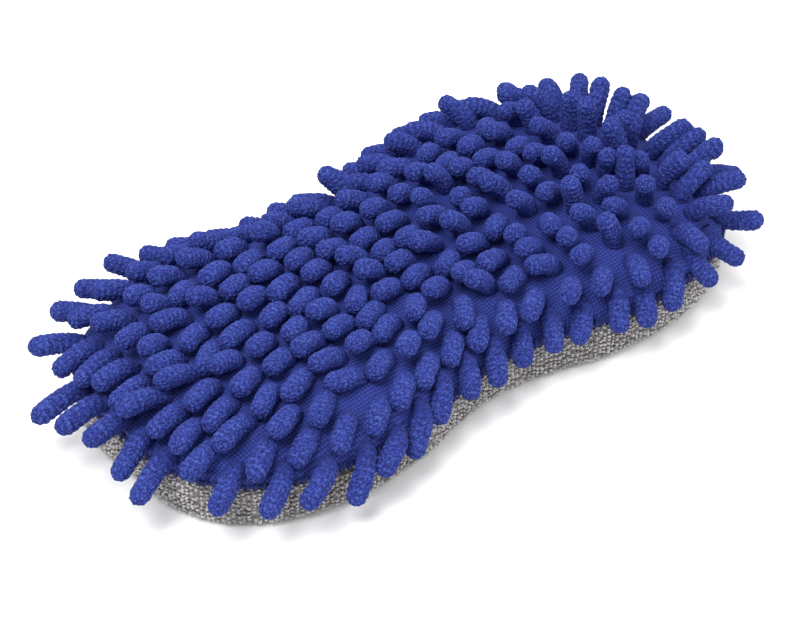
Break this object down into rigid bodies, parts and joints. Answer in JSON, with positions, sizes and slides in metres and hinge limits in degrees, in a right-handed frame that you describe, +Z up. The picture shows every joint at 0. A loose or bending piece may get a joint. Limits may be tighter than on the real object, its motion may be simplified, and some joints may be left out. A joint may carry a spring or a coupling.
{
  "type": "wash mitt",
  "caption": "Padded hand mitt for washing a car: a domed face of blue chenille noodles over foam, sewn to a pale grey terry back with an elastic-edged hand opening underneath.",
  "frame": {"origin": "middle of the flat terry underside, on the surface that the mitt rests on", "axes": "+X along the mitt, away from the hand opening; +Z up through the domed washing face"},
  "size_m": [0.2596, 0.1389, 0.0507],
  "materials": {
    "chenille": "looped microfibre chenille",
    "face_cloth": "fine knitted mesh",
    "terry": "ribbed terry cloth",
    "lining": "smooth woven nylon",
    "foam": "open-cell foam",
    "binding": "folded knit tape",
    "elastic": "braided elastic cord",
    "seam_thread": "polyester thread",
    "binding_thread": "polyester thread"
  },
  "bodies": {
    "root": {"back_panel": "terry", "lining": "lining", "foam_core": "foam", "face_fabric": "face_cloth", "opening_binding": "binding", "elastic": "elastic", "seam_stitching": "seam_thread", "binding_stitching": "binding_thread", "noodle_row_01": "chenille", "noodle_row_02": "chenille", "noodle_row_03": "chenille", "noodle_row_04": "chenille", "noodle_row_05": "chenille", "noodle_row_06": "chenille", "noodle_row_07": "chenille", "noodle_row_08": "chenille", "noodle_row_09": "chenille", "noodle_row_10": "chenille", "noodle_row_11": "chenille", "noodle_row_12": "chenille", "noodle_row_13": "chenille", "noodle_row_14": "chenille", "noodle_row_15": "chenille", "noodle_row_16": "chenille", "noodle_row_17": "chenille", "noodle_row_18": "chenille", "noodle_row_19": "chenille", "noodle_row_20": "chenille"}
  },
  "joints": []
}
